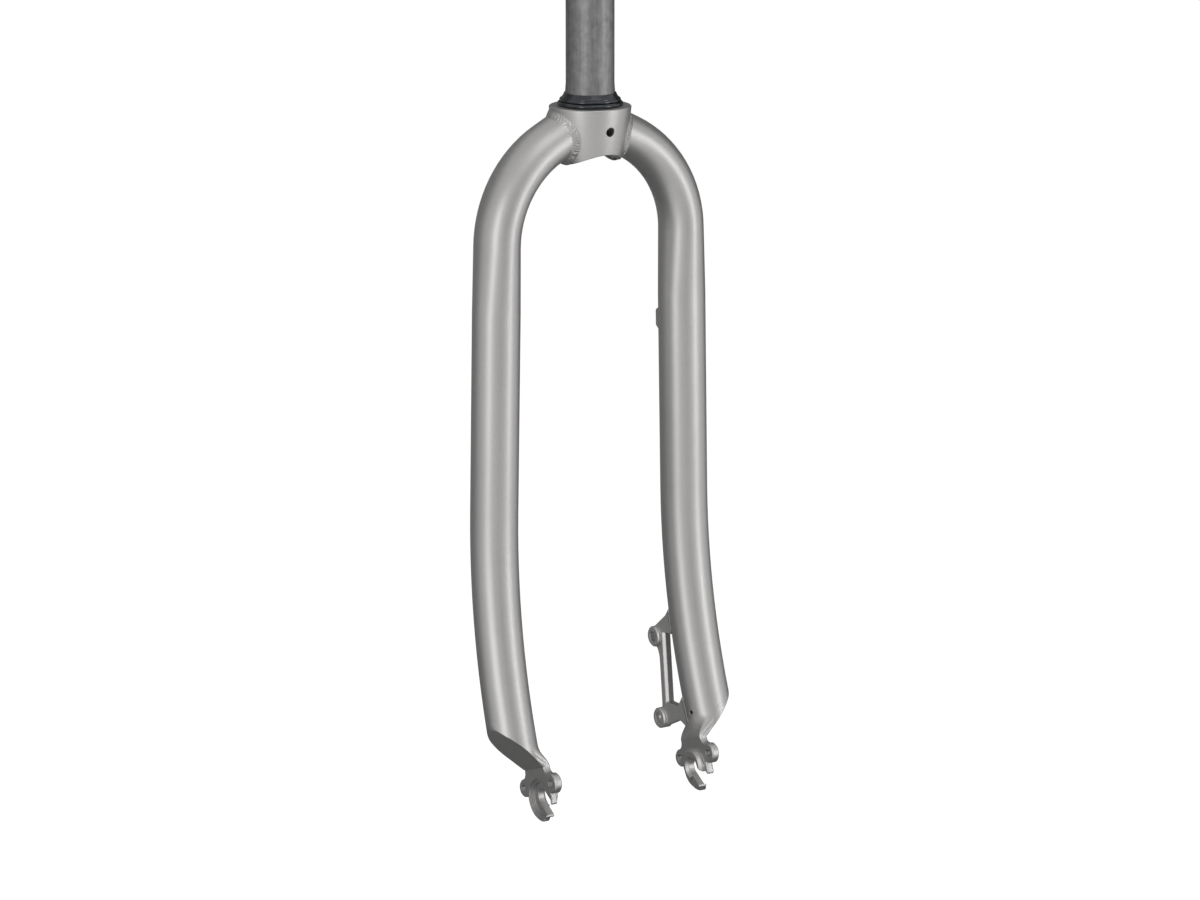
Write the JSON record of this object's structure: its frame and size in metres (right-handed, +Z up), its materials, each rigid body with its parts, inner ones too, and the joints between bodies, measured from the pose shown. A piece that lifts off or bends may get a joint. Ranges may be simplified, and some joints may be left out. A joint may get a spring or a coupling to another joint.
{
  "type": "bicycle fork",
  "caption": "Rigid bicycle front fork with a straight steerer, tapered crown collar, raked round legs, hooded open dropouts and a disc brake mount on the left leg.",
  "frame": {"origin": "centre of the crown race seat, on the steering axis at the collar's top face", "axes": "+Z up the steering axis, -Y to the front of the bicycle, +X to the bicycle's left, the disc brake side"},
  "size_m": [0.167, 0.0787, 0.6204],
  "materials": {
    "fork_paint": "satin silver-grey metallic paint on aluminium alloy",
    "steerer_metal": "bare, dull, drawn",
    "race_black": "black anodised",
    "seal_rubber": "satin black rubber"
  },
  "bodies": {
    "root": {"steerer_tube": "steerer_metal", "crown_collar": "fork_paint", "crown_race": "race_black", "race_seal": "seal_rubber", "leg_left": "fork_paint", "leg_right": "fork_paint", "crown_weld_left": "fork_paint", "crown_weld_right": "fork_paint", "dropout_left": "fork_paint", "dropout_right": "fork_paint", "disc_brake_mount": "fork_paint", "brake_weld_upper": "fork_paint", "brake_weld_lower": "fork_paint", "hose_guide": "fork_paint"}
  },
  "joints": []
}
